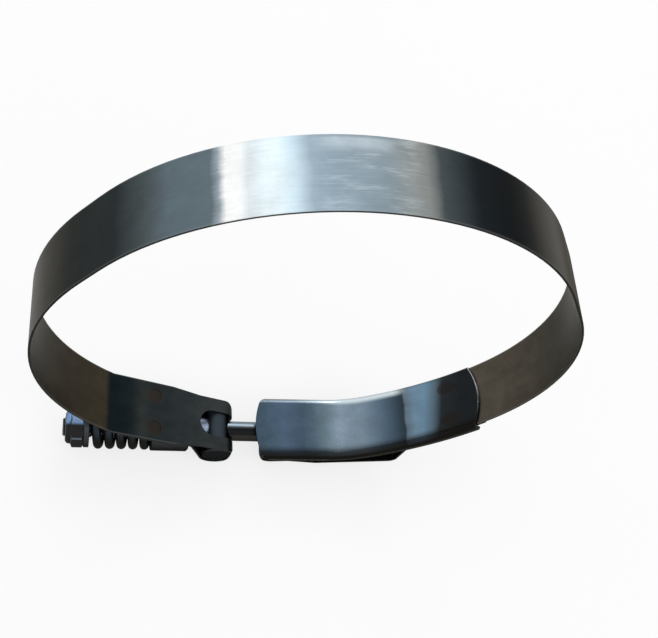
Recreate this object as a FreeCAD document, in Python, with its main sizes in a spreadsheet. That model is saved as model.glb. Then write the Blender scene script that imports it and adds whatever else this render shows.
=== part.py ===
import FreeCAD, Part
import math
import os

import Sketcher

# Spring-loaded T-bolt hose clamp, standing on its closing hardware.
# Frame: origin at the centre of the round bore, +Z up, +X along the bolt towards its T-head,
# +Y along the bore. Lengths in millimetres, angles in degrees.

V = FreeCAD.Vector

SIZES = [
    # Folded strip
    ("band_width", 19.05),
    ("band_thick", 0.6),
    ("bore_radius", 66.6),
    ("crown_half_angle", 57.0),
    ("left_shoulder", 7.0),
    ("right_shoulder", 10.6),
    ("left_swell", 2.6),
    ("right_pinch", 1.9),
    ("lower_swell", 17.4),
    ("lower_angle", 60.0),
    ("kink_angle", 42.5),
    ("kink_bend", 1.0),
    ("axis_clear", 12.7),
    ("left_loop_x", 14.8),
    ("right_loop_x", 3.7),
    ("strap_lean", 20.0),
    ("tail_bend", 1.6),
    ("left_tail_gap", 2.6),
    ("knee_radius", 25.0),
    ("knee_angle", 30.0),
    ("foot_reach", 41.5),
    ("foot_bend", 2.4),
    ("foot_rise", 7.5),
    ("riser_lean", 6.0),
    ("right_tail_angle", 59.0),
    ("loop_width", 17.2),
    ("taper_length", 9.0),
    ("taper_offset", 5.8),
    ("ear_corner", 2.3),
    ("slot_width", 8.4),
    ("slot_offset", 5.8),
    # Spot welds
    ("weld_diameter", 4.2),
    ("weld_depth", 0.12),
    ("weld_spread", 10.6),
    ("left_weld_x", 35.4),
    ("right_weld_angle", 50.9),
    # Bridge plate
    ("plate_thick", 0.8),
    ("plate_depth", 3.3),
    ("plate_side_gap", 0.1),
    ("plate_bend", 2.2),
    ("plate_start", 0.1),
    ("plate_end_angle", 56.5),
    ("plate_left_bulge", 2.1),
    ("plate_right_bulge", 3.2),
    # T-bolt and trunnion
    ("pin_diameter", 9.6),
    ("pin_gap", 0.1),
    ("pin_inset", 0.1),
    ("pin_edge", 0.5),
    ("head_diameter", 7.2),
    ("bolt_diameter", 6.35),
    ("bolt_point", 0.8),
    ("bolt_end_chamfer", 0.7),
    ("bolt_gap", 0.1),
    ("neck_diameter", 8.0),
    ("barrel_diameter", 13.7),
    ("barrel_face_x", 35.6),
    ("barrel_gap", 0.5),
    ("barrel_edge", 0.6),
    # Spring, washer and nut
    ("spring_length", 19.1),
    ("spring_diameter", 13.3),
    ("wire_diameter", 2.6),
    ("spring_turns", 5.3),
    ("washer_thick", 1.8),
    ("washer_diameter", 12.5),
    ("washer_edge", 0.35),
    ("nut_flats", 11.11),
    ("nut_length", 5.6),
    ("nut_turn", 28.0),
    ("nut_bevel", 0.45),
    ("collar_length", 1.7),
    ("collar_diameter", 10.4),
    ("collar_round", 1.3),
    ("lip_diameter", 7.7),
    ("lip_thick", 0.35),
    ("insert_diameter", 8.7),
    ("insert_length", 1.3),
    ("insert_gap", 0.02),
]

doc = FreeCAD.newDocument("spring_t_bolt_clamp")
sheet = doc.addObject("Spreadsheet::Sheet", "Sizes")
for row, (alias, value) in enumerate(SIZES, start=1):
    sheet.set("A%d" % row, alias)
    sheet.set("B%d" % row, str(value))
    sheet.setAlias("B%d" % row, alias)
doc.recompute()


def size(alias):
    """Value of one named size in the sheet."""
    return float(sheet.get(alias))


# Small plane geometry in the XZ plane

def polar(centre, radius, angle):
    """Point at an angle in degrees, measured from +X towards +Z."""
    a = math.radians(angle)
    return (centre[0] + radius * math.cos(a), centre[1] + radius * math.sin(a))


def heading(angle):
    """Unit direction at an angle in degrees."""
    return polar((0.0, 0.0), 1.0, angle)


def ahead(point, direction, distance):
    """Point at a distance from another along a direction."""
    return (point[0] + direction[0] * distance, point[1] + direction[1] * distance)


def angle_of(centre, point):
    """Angle in degrees of a point seen from a centre."""
    return math.degrees(math.atan2(point[1] - centre[1], point[0] - centre[0]))


def line_seg(start, end):
    """Straight piece of a strip's face."""
    return ("line", start, end)


def arc_seg(centre, radius, start, end):
    """Round piece of a strip's face; the angle grows when it runs counter-clockwise."""
    return ("arc", centre, radius, start, end)


def beside(segment, distance):
    """The same piece moved to the left of its own direction."""
    if segment[0] == "line":
        dx = segment[2][0] - segment[1][0]
        dz = segment[2][1] - segment[1][1]
        run = math.hypot(dx, dz)
        left = (-dz / run, dx / run)
        return line_seg(ahead(segment[1], left, distance), ahead(segment[2], left, distance))
    turn = 1.0 if segment[4] > segment[3] else -1.0
    return arc_seg(segment[1], segment[2] - turn * distance, segment[3], segment[4])


def ends(segment):
    """First and last point of a piece."""
    if segment[0] == "line":
        return segment[1], segment[2]
    return (polar(segment[1], segment[2], segment[3]),
            polar(segment[1], segment[2], segment[4]))


def edge_of(segment):
    """Sketch geometry of a piece."""
    first, last = ends(segment)
    if segment[0] == "line":
        return Part.LineSegment(V(first[0], first[1], 0), V(last[0], last[1], 0))
    middle = polar(segment[1], segment[2], (segment[3] + segment[4]) / 2.0)
    return Part.Arc(V(first[0], first[1], 0), V(middle[0], middle[1], 0), V(last[0], last[1], 0))


def strip(face, near, far):
    """Closed outline between two offsets of a face."""
    one = [beside(piece, near) for piece in face]
    two = [beside(piece, far) for piece in face]
    outline = [edge_of(piece) for piece in one]
    outline.append(edge_of(line_seg(ends(one[-1])[1], ends(two[-1])[1])))
    outline += [edge_of(piece) for piece in two]
    outline.append(edge_of(line_seg(ends(two[0])[0], ends(one[0])[0])))
    return outline


# Body and sketch helpers

def new_body(label, x_expression=None):
    """Body on the bore's frame, or on the bolt's axis at a distance along it."""
    body = doc.addObject("PartDesign::Body", label)
    body.Label = label
    doc.recompute()
    body.Placement = FreeCAD.Placement(V(0, 0, 0), FreeCAD.Rotation())
    if x_expression is not None:
        body.setExpression("Placement.Base.x", x_expression)
        body.setExpression("Placement.Base.z", "-(Sizes.bore_radius + Sizes.axis_clear)")
    return body


def new_sketch(body, name, role, offset=None):
    """Sketch on one of the body's own origin planes."""
    plane = [f for f in body.Origin.OriginFeatures if f.Role == role][0]
    sketch = body.newObject("Sketcher::SketchObject", name)
    sketch.AttachmentSupport = [(plane, "")]
    sketch.MapMode = "FlatFace"
    if offset is not None:
        sketch.AttachmentOffset = offset
    return sketch


def bind(sketch, kind, arguments, name, expression):
    """Named constraint driven by the sheet."""
    index = sketch.addConstraint(Sketcher.Constraint(kind, *arguments))
    sketch.renameConstraint(index, name)
    sketch.setExpression("Constraints." + name, expression)


def circle_sketch(body, name, role, expression, start_diameter):
    """Sketch with one centred circle whose diameter follows the sheet."""
    sketch = new_sketch(body, name, role)
    sketch.addGeometry(Part.Circle(V(0, 0, 0), V(0, 0, 1), start_diameter / 2.0), False)
    sketch.addConstraint(Sketcher.Constraint("Coincident", 0, 3, -1, 1))
    bind(sketch, "Diameter", (0, start_diameter), "across", expression)
    return sketch


def pad(body, name, sketch, expression, symmetric=False, backward=False):
    """Pad whose length follows the sheet."""
    feature = body.newObject("PartDesign::Pad", name)
    feature.Profile = sketch
    feature.Length = 1.0
    feature.setExpression("Length", expression)
    if symmetric:
        feature.SideType = "Symmetric"
    feature.Reversed = backward
    doc.recompute()
    return feature


def pocket(body, name, sketch, expression, symmetric=False, backward=False):
    """Pocket whose depth follows the sheet; it must take some material away."""
    before = body.Shape.Volume
    feature = body.newObject("PartDesign::Pocket", name)
    feature.Profile = sketch
    feature.Length = 1.0
    feature.setExpression("Length", expression)
    if symmetric:
        feature.SideType = "Symmetric"
    feature.Reversed = backward
    doc.recompute()
    if body.Shape.Volume > before - 1e-6:
        raise ValueError("pocket %s removes nothing" % name)
    return feature


def closed_outline(body, name, role, edges, offset=None):
    """Sketch that holds a closed outline worked out from the sizes."""
    sketch = new_sketch(body, name, role, offset)
    sketch.addGeometry(edges, False)
    return sketch


def polygon(points):
    """Closed outline of straight edges."""
    loop = points[1:] + points[:1]
    return [edge_of(line_seg(a, b)) for a, b in zip(points, loop)]


def revolve(body, name, sketch, cut=False):
    """Full turn of a profile about the body's own X axis."""
    before = body.Shape.Volume if cut else 0.0
    kind = "PartDesign::Groove" if cut else "PartDesign::Revolution"
    axis = [f for f in body.Origin.OriginFeatures if f.Role == "X_Axis"][0]
    feature = body.newObject(kind, name)
    feature.Profile = sketch
    feature.ReferenceAxis = (axis, [""])
    feature.Angle = 360.0
    doc.recompute()
    if cut and body.Shape.Volume > before - 1e-6:
        raise ValueError("groove %s removes nothing" % name)
    return feature


def dress(body, kind, name, edges, expression):
    """Fillet or chamfer on the edges that a test picks."""
    base = body.Tip
    picked = ["Edge%d" % (i + 1) for i, e in enumerate(base.Shape.Edges) if edges(e)]
    feature = body.newObject(kind, name)
    feature.Base = (base, picked)
    prop = "Radius" if kind.endswith("Fillet") else "Size"
    feature.setExpression(prop, expression)
    doc.recompute()
    return feature


# Main lines of the band, seen along the bore

thick = size("band_thick")
bore_radius = size("bore_radius")
axis_z = -(bore_radius + size("axis_clear"))
left_radius = size("pin_diameter") / 2.0 + size("pin_gap") + thick
right_radius = size("head_diameter") / 2.0 + size("pin_gap") + thick
crown = size("crown_half_angle")
left_fold = (-size("left_loop_x"), axis_z)
right_fold = (size("right_loop_x"), axis_z)

# A straight shoulder joins the round crown to each side arc
left_side = bore_radius + size("left_swell")
right_side = bore_radius - size("right_pinch")
left_crown = polar((0.0, 0.0), bore_radius, 90.0 + crown)
right_crown = polar((0.0, 0.0), bore_radius, 90.0 - crown)
left_shoulder = ahead(left_crown, heading(180.0 + crown), size("left_shoulder"))
right_shoulder = ahead(right_crown, heading(-crown), size("right_shoulder"))
left_centre = polar(left_shoulder, -left_side, 90.0 + crown)
right_centre = polar(right_shoulder, -right_side, 90.0 - crown)

# Left: the side arc ends in a small bend, and a straight chord runs on to touch the left fold
kink_corner = polar(left_centre, left_side, -90.0 - size("kink_angle"))
span = math.hypot(left_fold[0] - kink_corner[0], left_fold[1] - kink_corner[1])
chord_angle = angle_of(kink_corner, left_fold) + math.degrees(math.asin(left_radius / span))
chord_run = math.sqrt(span ** 2 - left_radius ** 2)
chord_end = ahead(kink_corner, heading(chord_angle), chord_run)
kink_bend = size("kink_bend")
bend_line = ahead(kink_corner, heading(chord_angle + 90.0), kink_bend)
from_centre = (bend_line[0] - left_centre[0], bend_line[1] - left_centre[1])
d_chord = heading(chord_angle)
along = from_centre[0] * d_chord[0] + from_centre[1] * d_chord[1]
apart = from_centre[0] ** 2 + from_centre[1] ** 2 - (left_side - kink_bend) ** 2
kink_centre = ahead(bend_line, d_chord, -along - math.sqrt(along ** 2 - apart))
kink_start = ahead(kink_centre, heading(chord_angle - 90.0), kink_bend)
kink_turned = angle_of(left_centre, kink_centre)

# Right: a flatter arc under the plate, then a wide knee, then a straight strap to the fold
lower_start = -90.0 + size("lower_angle")
lower_radius = bore_radius + size("lower_swell")
lower_centre = polar(polar(right_centre, right_side, lower_start), -lower_radius, lower_start)
knee = size("knee_radius")
knee_start = -90.0 + size("knee_angle")
knee_centre = polar(lower_centre, lower_radius - knee, knee_start)
fold_span = math.hypot(knee_centre[0] - right_fold[0], knee_centre[1] - right_fold[1])
strap_angle = (angle_of(right_fold, knee_centre)
               - math.degrees(math.asin((knee + right_radius) / fold_span)))
knee_end = polar(knee_centre, knee, strap_angle - 90.0)
strap_end = polar(right_fold, right_radius, strap_angle + 90.0)

# Inner face of the hoop, clockwise from the left fold to the right one
hoop_face = [
    line_seg(chord_end, kink_start),
    arc_seg(kink_centre, kink_bend, chord_angle - 90.0, kink_turned),
    arc_seg(left_centre, left_side, kink_turned + 360.0, 90.0 + crown),
    line_seg(left_shoulder, left_crown),
    arc_seg((0.0, 0.0), bore_radius, 90.0 + crown, 90.0 - crown),
    line_seg(right_crown, right_shoulder),
    arc_seg(right_centre, right_side, 90.0 - crown, lower_start),
    arc_seg(lower_centre, lower_radius, lower_start, knee_start),
    arc_seg(knee_centre, knee, knee_start, strap_angle - 90.0),
    line_seg(knee_end, strap_end),
]

# Left loop: from the tail's end, along the chord's outer face, round the trunnion's pin
tail_heading = chord_angle
lean = size("strap_lean")
drop_heading = -90.0 + lean
leave = polar(left_fold, left_radius, 180.0 + lean)
tail_offset = 2.0 * thick
tail_point = ahead(kink_corner, heading(chord_angle - 90.0), tail_offset)
d_tail = heading(tail_heading)
d_drop = heading(drop_heading)
cross = d_tail[0] * d_drop[1] - d_tail[1] * d_drop[0]
to_leave = (leave[0] - tail_point[0], leave[1] - tail_point[1])
reach = (to_leave[0] * d_drop[1] - to_leave[1] * d_drop[0]) / cross
tail_corner = ahead(tail_point, d_tail, reach)
tail_half = size("tail_bend") * math.tan(math.radians((tail_heading - drop_heading) / 2.0))
tail_bend_start = ahead(tail_corner, d_tail, -tail_half)
tail_bend_end = ahead(tail_corner, d_drop, tail_half)
tail_bend_centre = ahead(tail_bend_start, heading(tail_heading - 90.0), size("tail_bend"))
left_face = [
    line_seg(ahead(tail_point, d_tail, size("left_tail_gap")), tail_bend_start),
    arc_seg(tail_bend_centre, size("tail_bend"), tail_heading + 90.0, drop_heading + 90.0),
    line_seg(tail_bend_end, leave),
    arc_seg(left_fold, left_radius, 180.0 + lean, 450.0 + chord_angle),
]

# Right loop: round the T-head, along the foot, up the riser and along the outside of the band
riser_heading = 90.0 - size("riser_lean")
foot_heading = size("foot_rise")
foot_bend = size("foot_bend") + thick
fold_bottom = polar(right_fold, right_radius, foot_heading - 90.0)
foot_end = ahead(fold_bottom, heading(foot_heading), size("foot_reach") - foot_bend)
foot_centre = ahead(foot_end, heading(foot_heading + 90.0), foot_bend)
riser_start = polar(foot_centre, foot_bend, riser_heading - 90.0)
tail_radius = lower_radius + 2.0 * thick
riser_bend = size("tail_bend")
d_riser = heading(riser_heading)
bend_line = ahead(riser_start, heading(riser_heading - 90.0), riser_bend)
from_centre = (bend_line[0] - lower_centre[0], bend_line[1] - lower_centre[1])
along = from_centre[0] * d_riser[0] + from_centre[1] * d_riser[1]
apart = from_centre[0] ** 2 + from_centre[1] ** 2 - (tail_radius + riser_bend) ** 2
riser_run = -along - math.sqrt(along ** 2 - apart)
riser_end = ahead(riser_start, d_riser, riser_run)
riser_centre = ahead(bend_line, d_riser, riser_run)
riser_touch = angle_of(lower_centre, riser_centre)
right_face = [
    arc_seg(right_fold, right_radius, strap_angle + 90.0, foot_heading + 270.0),
    line_seg(fold_bottom, foot_end),
    arc_seg(foot_centre, foot_bend, foot_heading - 90.0, riser_heading - 90.0),
    line_seg(riser_start, riser_end),
    arc_seg(riser_centre, riser_bend, riser_heading + 90.0, riser_touch + 180.0),
    arc_seg(lower_centre, tail_radius, riser_touch, -90.0 + size("right_tail_angle")),
]

# Band: one strip, folded into a loop at each end and spot-welded to itself
band = new_body("band")
for part_name, face in (("hoop", hoop_face), ("left_loop", left_face), ("right_loop", right_face)):
    outline = closed_outline(band, part_name + "_outline", "XZ_Plane", strip(face, 0.0, thick))
    pad(band, part_name, outline, "Sizes.band_width", symmetric=True)

# The strip narrows towards both folds, and its ears have round corners
ceiling = axis_z + 2.5 * left_radius
floor_z = axis_z - left_radius - right_radius
loops_z = FreeCAD.Placement(V(0, 0, ceiling), FreeCAD.Rotation())
half_band = size("band_width") / 2.0
half_loop = size("loop_width") / 2.0
corner = size("ear_corner")
ear_left = left_fold[0] + left_radius
ear_right = right_fold[0] - right_radius
narrow_left = left_fold[0] - size("taper_offset")
narrow_right = right_fold[0] + size("taper_offset")
for mirror, part_name in ((1.0, "far_taper"), (-1.0, "near_taper")):
    rim = [
        line_seg((narrow_left - size("taper_length"), mirror * half_band),
                 (narrow_left, mirror * half_loop)),
        line_seg((narrow_left, mirror * half_loop), (ear_left - corner, mirror * half_loop)),
        arc_seg((ear_left - corner, mirror * (half_loop - corner)), corner, mirror * 90.0, 0.0),
        line_seg((ear_left, mirror * (half_loop - corner)),
                 (ear_right, mirror * (half_loop - corner))),
        arc_seg((ear_right + corner, mirror * (half_loop - corner)), corner,
                180.0, mirror * 90.0 if mirror > 0 else 270.0),
        line_seg((ear_right + corner, mirror * half_loop), (narrow_right, mirror * half_loop)),
        line_seg((narrow_right, mirror * half_loop),
                 (narrow_right + size("taper_length"), mirror * half_band)),
        line_seg((narrow_right + size("taper_length"), mirror * half_band),
                 (narrow_right + size("taper_length"), mirror * (half_band + corner))),
        line_seg((narrow_right + size("taper_length"), mirror * (half_band + corner)),
                 (narrow_left - size("taper_length"), mirror * (half_band + corner))),
        line_seg((narrow_left - size("taper_length"), mirror * (half_band + corner)),
                 (narrow_left - size("taper_length"), mirror * half_band)),
    ]
    outline = closed_outline(band, part_name + "_outline", "XY_Plane",
                             [edge_of(piece) for piece in rim], loops_z)
    pocket(band, part_name, outline, "%.6f" % (ceiling - floor_z))

# One slot for the bolt through both folds, open on top and closed below by the bottom strap
half_slot = size("slot_width") / 2.0
slot_left = left_fold[0] - size("slot_offset") + half_slot
slot_right = right_fold[0] + size("slot_offset") - half_slot
slot_rim = [
    line_seg((slot_left, half_slot), (slot_right, half_slot)),
    arc_seg((slot_right, 0.0), half_slot, 90.0, -90.0),
    line_seg((slot_right, -half_slot), (slot_left, -half_slot)),
    arc_seg((slot_left, 0.0), half_slot, 270.0, 90.0),
]
outline = closed_outline(band, "bolt_slot_outline", "XY_Plane",
                         [edge_of(piece) for piece in slot_rim], loops_z)
pocket(band, "bolt_slot", outline, "%.6f" % (ceiling - axis_z + half_slot))

# Window in the leaning strap, through which the trunnion's neck passes
neck_plane = FreeCAD.Placement(V(0, 0, left_fold[0]), FreeCAD.Rotation())
window = [(-half_slot, axis_z - half_slot), (half_slot, axis_z - half_slot),
          (half_slot, axis_z + half_slot), (-half_slot, axis_z + half_slot)]
outline = closed_outline(band, "neck_window_outline", "YZ_Plane", polygon(window), neck_plane)
pocket(band, "neck_window", outline, "2 * Sizes.pin_diameter")


def tilted(origin, angle):
    """Placement whose XY plane lies on a face that looks towards the bore's centre."""
    return FreeCAD.Placement(V(origin[0], 0, origin[1]), FreeCAD.Rotation(V(0, 1, 0), -angle))


def weld_marks(body, name, placement):
    """Two shallow round weld marks, side by side across the strip."""
    sketch = new_sketch(body, name + "_outline", "XY_Plane", placement)
    for index, side_sign in enumerate((1.0, -1.0)):
        centre = V(0, side_sign * size("weld_spread") / 2.0, 0)
        sketch.addGeometry(Part.Circle(centre, V(0, 0, 1), size("weld_diameter") / 2.0), False)
        bind(sketch, "Diameter", (index, size("weld_diameter")), "mark_%d" % index,
             "Sizes.weld_diameter")
    pocket(body, name, sketch, "Sizes.weld_depth")


weld_run = (-size("left_weld_x") - kink_corner[0]) / math.cos(math.radians(chord_angle))
weld_spot = ahead(kink_corner, heading(chord_angle), weld_run)
weld_marks(band, "left_welds", tilted(weld_spot, chord_angle))

# Bridge plate: a channel that spans the gap inside the band and is welded to the right side
plate = new_body("bridge_plate")
plate_thick = size("plate_thick")
end_angle = -90.0 + size("plate_end_angle")
left_bulge = size("plate_left_bulge")
right_bulge = size("plate_right_bulge")
bulge_angle = math.degrees(right_bulge / lower_radius)
plate_tip = (-size("plate_start") - left_bulge - strap_end[0]) / math.cos(math.radians(strap_angle))
plate_left = ahead(strap_end, heading(strap_angle), plate_tip)
plate_face = [
    arc_seg(lower_centre, lower_radius, end_angle + bulge_angle, knee_start),
    arc_seg(knee_centre, knee, knee_start, strap_angle - 90.0),
    line_seg(knee_end, plate_left),
]
outer_width = "Sizes.band_width + 2 * Sizes.plate_side_gap + 2 * Sizes.plate_thick"
inner_width = "Sizes.band_width + 2 * Sizes.plate_side_gap"
outline = closed_outline(plate, "channel_outline", "XZ_Plane",
                         strip(plate_face, -plate_thick, size("plate_depth") - plate_thick))
pad(plate, "channel", outline, outer_width, symmetric=True)
half_plate = half_band + size("plate_side_gap") + plate_thick


def on_plate_face(edge, half_width, offset):
    """True for a long edge on a given offset of the plate's outer face."""
    for vertex in edge.Vertexes:
        if abs(abs(vertex.Y) - half_width) > 1e-4:
            return False
    middle = edge.valueAt((edge.FirstParameter + edge.LastParameter) / 2.0)
    if abs(abs(middle.y) - half_width) > 1e-4 or edge.Length < 3.0:
        return False
    from_lower = math.hypot(middle.x - lower_centre[0], middle.z - lower_centre[1]) - lower_radius
    from_knee = math.hypot(middle.x - knee_centre[0], middle.z - knee_centre[1]) - knee
    down = heading(strap_angle - 90.0)
    from_strap = (middle.x - knee_end[0]) * down[0] + (middle.z - knee_end[1]) * down[1]
    return min(abs(from_lower + offset), abs(from_knee + offset), abs(from_strap + offset)) < 0.01


dress(plate, "PartDesign::Fillet", "outer_bends",
      lambda edge: on_plate_face(edge, half_plate, plate_thick), "Sizes.plate_bend")
outline = closed_outline(plate, "channel_inside_outline", "XZ_Plane",
                         strip(plate_face, 0.0, size("plate_depth")))
pocket(plate, "channel_inside", outline, inner_width, symmetric=True)

# Convex ends: everything outside a circular arc across the plate is trimmed away
left_end_radius = (half_plate ** 2 + left_bulge ** 2) / (2.0 * left_bulge)
right_end_radius = (half_plate ** 2 + right_bulge ** 2) / (2.0 * right_bulge)


def end_trim(name, placement, sign, end_radius):
    """Trim one end to an arc that bulges outward, in the plane of that end."""
    beyond = half_plate + 1.0
    deep = math.sqrt(end_radius ** 2 - beyond ** 2)
    tip = sign * end_radius
    corner_x = sign * deep
    edges = [
        Part.Arc(V(corner_x, beyond, 0), V(tip, 0, 0), V(corner_x, -beyond, 0)),
        Part.LineSegment(V(corner_x, -beyond, 0), V(tip + sign * 4.0, -beyond, 0)),
        Part.LineSegment(V(tip + sign * 4.0, -beyond, 0), V(tip + sign * 4.0, beyond, 0)),
        Part.LineSegment(V(tip + sign * 4.0, beyond, 0), V(corner_x, beyond, 0)),
    ]
    sketch = closed_outline(plate, name + "_outline", "XY_Plane", edges, placement)
    pocket(plate, name, sketch, "4 * Sizes.plate_depth", symmetric=True)


left_pivot = ahead(plate_left, heading(strap_angle), left_end_radius)
end_trim("left_end", tilted(left_pivot, strap_angle), -1.0, left_end_radius)
tangent_angle = size("plate_end_angle")
tip_point = polar(lower_centre, lower_radius, end_angle + bulge_angle)
right_pivot = ahead(tip_point, heading(tangent_angle), -right_end_radius)
end_trim("right_end", tilted(right_pivot, tangent_angle), 1.0, right_end_radius)

weld_angle = size("right_weld_angle")
weld_place = polar(lower_centre, lower_radius - plate_thick, -90.0 + weld_angle)
weld_marks(plate, "plate_welds", tilted(weld_place, weld_angle))

# T-bolt: round cross head in the right fold, shank through everything to past the nut
nut_end = "(Sizes.barrel_face_x + Sizes.spring_length + Sizes.washer_thick + Sizes.nut_length)"
bolt = new_body("t_bolt", "Sizes.right_loop_x")
pin_length = "Sizes.loop_width - 2 * Sizes.pin_inset"
outline = circle_sketch(bolt, "head_outline", "XZ_Plane", "Sizes.head_diameter", 7.2)
pad(bolt, "head", outline, pin_length, symmetric=True)
dress(bolt, "PartDesign::Chamfer", "head_edges",
      lambda edge: edge.Curve.TypeId == "Part::GeomCircle", "Sizes.pin_edge")
outline = circle_sketch(bolt, "shank_outline", "YZ_Plane", "Sizes.bolt_diameter", 6.35)
pad(bolt, "shank", outline, "Sizes.right_loop_x + %s + Sizes.bolt_point" % nut_end, backward=True)
dress(bolt, "PartDesign::Chamfer", "shank_point",
      lambda edge: max(v.X for v in edge.Vertexes) < bolt.Tip.Shape.BoundBox.XMin + 0.01,
      "Sizes.bolt_end_chamfer")

# Trunnion: cross pin in the left fold, neck through the window, barrel that carries the spring
trunnion = new_body("trunnion", "-Sizes.left_loop_x")
outline = circle_sketch(trunnion, "pin_outline", "XZ_Plane", "Sizes.pin_diameter", 9.6)
pad(trunnion, "pin", outline, pin_length, symmetric=True)
dress(trunnion, "PartDesign::Chamfer", "pin_edges",
      lambda edge: edge.Curve.TypeId == "Part::GeomCircle", "Sizes.pin_edge")
barrel = size("barrel_diameter") / 2.0
strap_x = leave[0] - (barrel - (leave[1] - axis_z)) * math.tan(math.radians(lean))
barrel_back = strap_x - size("barrel_gap") - left_fold[0]
barrel_front = -size("barrel_face_x") - left_fold[0]
edge_cut = size("barrel_edge")
neck = size("neck_diameter") / 2.0
outline = closed_outline(trunnion, "barrel_outline", "XZ_Plane", polygon([
    (barrel_front, 0.0), (0.0, 0.0), (0.0, neck), (barrel_back, neck),
    (barrel_back, barrel - edge_cut), (barrel_back - edge_cut, barrel),
    (barrel_front + edge_cut / 2.0, barrel), (barrel_front, barrel - edge_cut / 2.0)]))
revolve(trunnion, "barrel", outline)
bore = "Sizes.bolt_diameter + 2 * Sizes.bolt_gap"
bore_size = size("bolt_diameter") + 2.0 * size("bolt_gap")
outline = circle_sketch(trunnion, "bore_outline", "YZ_Plane", bore, bore_size)
pocket(trunnion, "bore", outline, "4 * Sizes.barrel_face_x", symmetric=True)

# Spring: round wire wound between the barrel and the washer, its ends ground flat
spring = new_body("spring", "-Sizes.barrel_face_x - Sizes.spring_length")
outline = new_sketch(spring, "wire_outline", "XZ_Plane")
wire = size("wire_diameter")
coil = (size("spring_diameter") - wire) / 2.0
outline.addGeometry(Part.Circle(V(0, coil, 0), V(0, 0, 1), wire / 2.0), False)
bind(outline, "Diameter", (0, wire), "wire", "Sizes.wire_diameter")
bind(outline, "DistanceY", (-1, 1, 0, 3, coil), "coil",
     "(Sizes.spring_diameter - Sizes.wire_diameter) / 2")
outline.addConstraint(Sketcher.Constraint("PointOnObject", 0, 3, -2))
helix = spring.newObject("PartDesign::AdditiveHelix", "coils")
helix.Profile = outline
helix.ReferenceAxis = ([f for f in spring.Origin.OriginFeatures if f.Role == "X_Axis"][0], [""])
helix.Mode = "height-turns-angle"
helix.Height = size("spring_length")
helix.setExpression("Height", "Sizes.spring_length")
helix.Turns = size("spring_turns")
helix.setExpression("Turns", "Sizes.spring_turns")
doc.recompute()
for part_name, place, back in (("front_grind", 0.0, False), ("back_grind", 1.0, True)):
    outline = circle_sketch(spring, part_name + "_outline", "YZ_Plane",
                            "2 * Sizes.spring_diameter", 2.0 * size("spring_diameter"))
    outline.setExpression("AttachmentOffset.Base.z", "%g * Sizes.spring_length" % place)
    pocket(spring, part_name, outline, "2 * Sizes.wire_diameter", backward=back)

# Washer between spring and nut
washer = new_body("washer",
                  "-Sizes.barrel_face_x - Sizes.spring_length - Sizes.washer_thick")
outline = circle_sketch(washer, "washer_outline", "YZ_Plane", "Sizes.washer_diameter",
                        size("washer_diameter"))
pad(washer, "disc", outline, "Sizes.washer_thick")
dress(washer, "PartDesign::Fillet", "rim", lambda edge: edge.Curve.TypeId == "Part::GeomCircle",
      "Sizes.washer_edge")
outline = circle_sketch(washer, "washer_bore_outline", "YZ_Plane", bore, bore_size)
pocket(washer, "washer_bore", outline, "4 * Sizes.washer_thick", symmetric=True)

# Lock nut: hexagon with a domed collar that holds the insert; its frame is at the outer end
nut = new_body("lock_nut", "-" + nut_end)
half_flats = size("nut_flats") / 2.0
half_corners = half_flats / math.cos(math.radians(30.0))
corners = [polar((0.0, 0.0), half_corners, 60.0 * k + size("nut_turn")) for k in range(6)]
outline = closed_outline(nut, "hexagon_outline", "YZ_Plane", polygon(corners))
pad(nut, "hexagon", outline, "Sizes.nut_length")
collar = size("collar_diameter") / 2.0
dome = size("collar_round")
rise = half_corners - half_flats
length = size("nut_length")
collar_end = size("collar_length")
outside = half_corners + 1.0
outline = closed_outline(nut, "dome_outline", "XZ_Plane", [
    edge_of(line_seg((-1.0, outside), (-1.0, collar - dome))),
    edge_of(line_seg((-1.0, collar - dome), (0.0, collar - dome))),
    edge_of(arc_seg((dome, collar - dome), dome, 180.0, 90.0)),
    edge_of(line_seg((dome, collar), (collar_end, collar))),
    edge_of(line_seg((collar_end, collar), (collar_end, half_flats - size("nut_bevel") / 2.0))),
    edge_of(line_seg((collar_end, half_flats - size("nut_bevel") / 2.0),
                     (collar_end + rise * 0.75, half_corners + size("nut_bevel") / 2.0))),
    edge_of(line_seg((collar_end + rise * 0.75, half_corners + size("nut_bevel") / 2.0),
                     (collar_end + rise * 0.75, outside))),
    edge_of(line_seg((collar_end + rise * 0.75, outside), (-1.0, outside))),
])
revolve(nut, "dome", outline, cut=True)
bevel = size("nut_bevel")
outline = closed_outline(nut, "seat_bevel_outline", "XZ_Plane", polygon([
    (length, half_corners - bevel * 1.6), (length - bevel, half_corners + 0.02),
    (length + 0.5, half_corners + 0.02), (length + 0.5, half_corners - bevel * 1.6)]))
revolve(nut, "seat_bevel", outline, cut=True)
lip = size("lip_diameter") / 2.0
insert = size("insert_diameter") / 2.0
lip_thick = size("lip_thick")
insert_end = lip_thick + size("insert_length")
thread = bore_size / 2.0
outline = closed_outline(nut, "nut_bore_outline", "XZ_Plane", polygon([
    (-1.0, 0.0), (-1.0, lip), (lip_thick, lip), (lip_thick, insert), (insert_end, insert),
    (insert_end, thread), (length + 1.0, thread), (length + 1.0, 0.0)]))
revolve(nut, "nut_bore", outline, cut=True)

# Insert: locking ring held inside the collar
ring = new_body("nut_insert", "-%s + Sizes.lip_thick" % nut_end)
outline = circle_sketch(ring, "insert_outline", "YZ_Plane",
                        "Sizes.insert_diameter - 2 * Sizes.insert_gap",
                        size("insert_diameter") - 2.0 * size("insert_gap"))
pad(ring, "insert_ring", outline, "Sizes.insert_length")
outline = circle_sketch(ring, "insert_bore_outline", "YZ_Plane", bore, bore_size)
pocket(ring, "insert_bore", outline, "4 * Sizes.insert_length", symmetric=True)

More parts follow.
